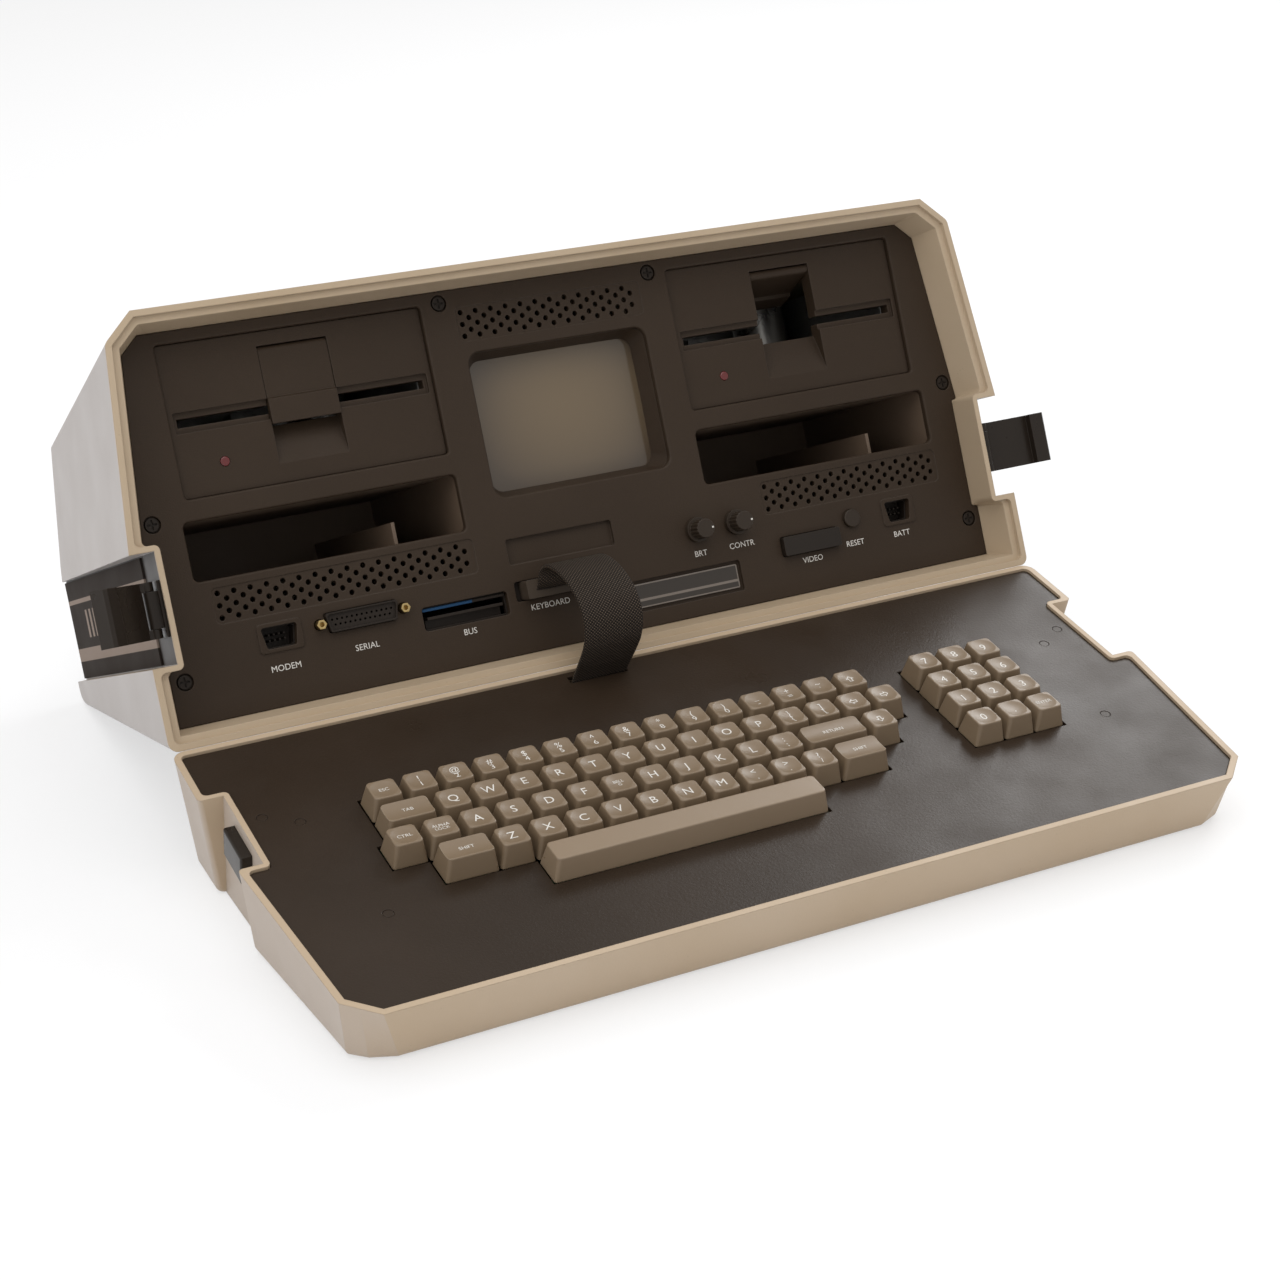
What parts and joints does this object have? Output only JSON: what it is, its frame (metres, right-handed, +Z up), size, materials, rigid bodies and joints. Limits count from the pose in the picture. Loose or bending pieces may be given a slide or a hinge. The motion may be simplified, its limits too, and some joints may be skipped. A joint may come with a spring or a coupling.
{
  "type": "luggable computer",
  "caption": "Vintage luggable computer: display unit with small tube screen, paired disk drives and pockets, and a keyboard case that folds over the panel and latches shut.",
  "frame": {"origin": "middle of the object's width, on the table, on the keyboard case's flat bottom", "axes": "X to the right seen from the user, Y from the user to the display, Z up"},
  "size_m": [0.5839, 0.5028, 0.2679],
  "materials": {
    "case": "warm beige moulded, fine texture",
    "panel": "dark brown-black, fine texture",
    "keyboard_plate": "dark brown speckled, matte",
    "keys": "taupe, lightly glossy",
    "black_plastic": "black, glossy",
    "band": "dark grey strip",
    "lamp": "red lens",
    "screen_glass": "olive grey, glossy",
    "bare_metal": "bright, lightly brushed",
    "cast_metal": "cast, matte",
    "brass": "bright",
    "steel_sheet": "dark grey",
    "circuit_board": "green lacquered",
    "rubber": "black",
    "cable": "black woven braid",
    "name_plate": "satin",
    "coil": "enamelled copper winding"
  },
  "bodies": {
    "display_unit": {"main_case": "case", "side_bands": "band", "front_panel": "panel", "panel_screws": "steel_sheet", "name_plate": "name_plate", "drive_bezels": "panel", "door_pins": "bare_metal", "drive_lamps": "lamp", "drive_frames": "cast_metal", "drive_motors": "bare_metal", "drive_belts": "rubber", "head_rails": "bare_metal", "drive_shelves": "steel_sheet", "disk_pockets": "panel", "screen_surround": "panel", "picture_tube": "screen_glass", "deflection_yoke": "coil", "tube_clamp": "steel_sheet", "panel_controls": "steel_sheet", "panel_connectors": "black_plastic", "serial_connector": "black_plastic", "jackscrews": "brass", "bus_connector": "black_plastic", "logic_board": "circuit_board", "power_supply": "steel_sheet", "power_inlet": "black_plastic", "handle_ears": "black_plastic", "rubber_feet": "rubber", "latch_brackets": "black_plastic", "ribbon_cable": "cable", "ribbon_plug": "black_plastic"},
    "keyboard_unit": {"keyboard_case": "case", "keyboard_plate": "keyboard_plate", "keyboard_screws": "keyboard_plate", "keyboard_board": "circuit_board", "key_switches": "black_plastic", "latch_keepers": "black_plastic"},
    "number_keys": {"number_keys": "keys"},
    "upper_keys": {"upper_keys": "keys"},
    "home_keys": {"home_keys": "keys"},
    "lower_keys": {"lower_keys": "keys"},
    "space_bar": {"space_bar": "keys"},
    "keypad_keys": {"keypad_keys": "keys"},
    "knob_brightness": {"knob_brightness": "black_plastic"},
    "knob_contrast": {"knob_contrast": "black_plastic"},
    "reset_button": {"reset_button": "black_plastic"},
    "video_plug": {"video_plug": "black_plastic"},
    "drive_door_left": {"drive_door_left": "panel"},
    "drive_door_right": {"drive_door_right": "panel"},
    "spindle_left": {"spindle_left": "cast_metal"},
    "spindle_right": {"spindle_right": "cast_metal"},
    "motor_pulley_left": {"motor_pulley_left": "bare_metal"},
    "motor_pulley_right": {"motor_pulley_right": "bare_metal"},
    "head_carriage_left": {"head_carriage_left": "cast_metal"},
    "head_carriage_right": {"head_carriage_right": "cast_metal"},
    "power_rocker": {"power_rocker": "black_plastic"},
    "carry_handle": {"carry_handle": "black_plastic"},
    "latch_left": {"latch_left": "black_plastic"},
    "latch_right": {"latch_right": "black_plastic"}
  },
  "joints": [
    {"name": "keyboard_fold", "type": "hinge", "parent": "display_unit", "child": "keyboard_unit", "pos_m": [0, 0.105, 0.0664], "axis": [-1, 0, 0], "range_deg": [0, 123.47], "deforming": ["ribbon_cable"]},
    {"name": "latch_left_swing", "type": "hinge", "parent": "display_unit", "child": "latch_left", "pos_m": [-0.2532, 0.14316, 0.12814], "axis": [0, 0.4143, 0.9101], "range_deg": [-45, 45]},
    {"name": "latch_right_swing", "type": "hinge", "parent": "display_unit", "child": "latch_right", "pos_m": [0.2532, 0.14316, 0.12814], "axis": [0, -0.4143, -0.9101], "range_deg": [0, 90]},
    {"name": "drive_door_left_flap", "type": "hinge", "parent": "display_unit", "child": "drive_door_left", "pos_m": [-0.148, 0.21107, 0.23172], "axis": [1, 0, 0], "range_deg": [0, 72]},
    {"name": "drive_door_right_flap", "type": "hinge", "parent": "display_unit", "child": "drive_door_right", "pos_m": [0.148, 0.21107, 0.23172], "axis": [1, 0, 0], "range_deg": [-72, 0]},
    {"name": "brightness_turn", "type": "hinge", "parent": "display_unit", "child": "knob_brightness", "pos_m": [0.062, 0.14919, 0.11002], "axis": [0, -0.9101, 0.4143], "range_deg": [-150, 150]},
    {"name": "contrast_turn", "type": "hinge", "parent": "display_unit", "child": "knob_contrast", "pos_m": [0.087, 0.14919, 0.11002], "axis": [0, -0.9101, 0.4143], "range_deg": [-150, 150]},
    {"name": "reset_press", "type": "slide", "parent": "display_unit", "child": "reset_button", "axis": [0, 0.9101, -0.4143], "range_m": [0, 0.002], "stiffness_N_per_m": 300, "springref_m": -0.001},
    {"name": "video_plug_pull", "type": "slide", "parent": "display_unit", "child": "video_plug", "axis": [0, -0.9101, 0.4143], "range_m": [0, 0.017]},
    {"name": "spindle_left_spin", "type": "hinge", "parent": "display_unit", "child": "spindle_left", "pos_m": [-0.148, 0.25193, 0.16433], "axis": [0, 0.4143, 0.9101], "continuous": true},
    {"name": "motor_left_spin", "type": "hinge", "parent": "display_unit", "child": "motor_pulley_left", "pos_m": [-0.101, 0.30153, 0.14175], "axis": [0, 0.4143, 0.9101], "continuous": true},
    {"name": "head_left_slide", "type": "slide", "parent": "display_unit", "child": "head_carriage_left", "axis": [0, -0.9101, 0.4143], "range_m": [0, 0.02]},
    {"name": "spindle_right_spin", "type": "hinge", "parent": "display_unit", "child": "spindle_right", "pos_m": [0.148, 0.25193, 0.16433], "axis": [0, 0.4143, 0.9101], "continuous": true},
    {"name": "motor_right_spin", "type": "hinge", "parent": "display_unit", "child": "motor_pulley_right", "pos_m": [0.195, 0.30153, 0.14175], "axis": [0, 0.4143, 0.9101], "continuous": true},
    {"name": "head_right_slide", "type": "slide", "parent": "display_unit", "child": "head_carriage_right", "axis": [0, -0.9101, 0.4143], "range_m": [0, 0.02]},
    {"name": "power_rocker_tilt", "type": "hinge", "parent": "display_unit", "child": "power_rocker", "pos_m": [0.024, 0.33942, 0.03551], "axis": [1, 0, 0], "range_deg": [0, 12]},
    {"name": "handle_swing", "type": "hinge", "parent": "display_unit", "child": "carry_handle", "pos_m": [0, 0.38209, 0.1207], "axis": [1, 0, 0], "range_deg": [0, 150]},
    {"name": "number_keys_press", "type": "slide", "parent": "keyboard_unit", "child": "number_keys", "axis": [0, 0.1564, -0.9877], "range_m": [0, 0.0035], "stiffness_N_per_m": 2250, "springref_m": -0.002},
    {"name": "upper_keys_press", "type": "slide", "parent": "keyboard_unit", "child": "upper_keys", "axis": [0, 0.1564, -0.9877], "range_m": [0, 0.0035], "stiffness_N_per_m": 2250, "springref_m": -0.002},
    {"name": "home_keys_press", "type": "slide", "parent": "keyboard_unit", "child": "home_keys", "axis": [0, 0.1564, -0.9877], "range_m": [0, 0.0035], "stiffness_N_per_m": 2100, "springref_m": -0.002},
    {"name": "lower_keys_press", "type": "slide", "parent": "keyboard_unit", "child": "lower_keys", "axis": [0, 0.1564, -0.9877], "range_m": [0, 0.0035], "stiffness_N_per_m": 1800, "springref_m": -0.002},
    {"name": "space_bar_press", "type": "slide", "parent": "keyboard_unit", "child": "space_bar", "axis": [0, 0.1564, -0.9877], "range_m": [0, 0.0035], "stiffness_N_per_m": 600, "springref_m": -0.002},
    {"name": "keypad_keys_press", "type": "slide", "parent": "keyboard_unit", "child": "keypad_keys", "axis": [0, 0.1564, -0.9877], "range_m": [0, 0.0035], "stiffness_N_per_m": 1800, "springref_m": -0.002}
  ],
  "couplings": [
    {"joint": "motor_left_spin", "follows": "spindle_left_spin", "ratio": 5.625},
    {"joint": "motor_right_spin", "follows": "spindle_right_spin", "ratio": 5.625}
  ]
}
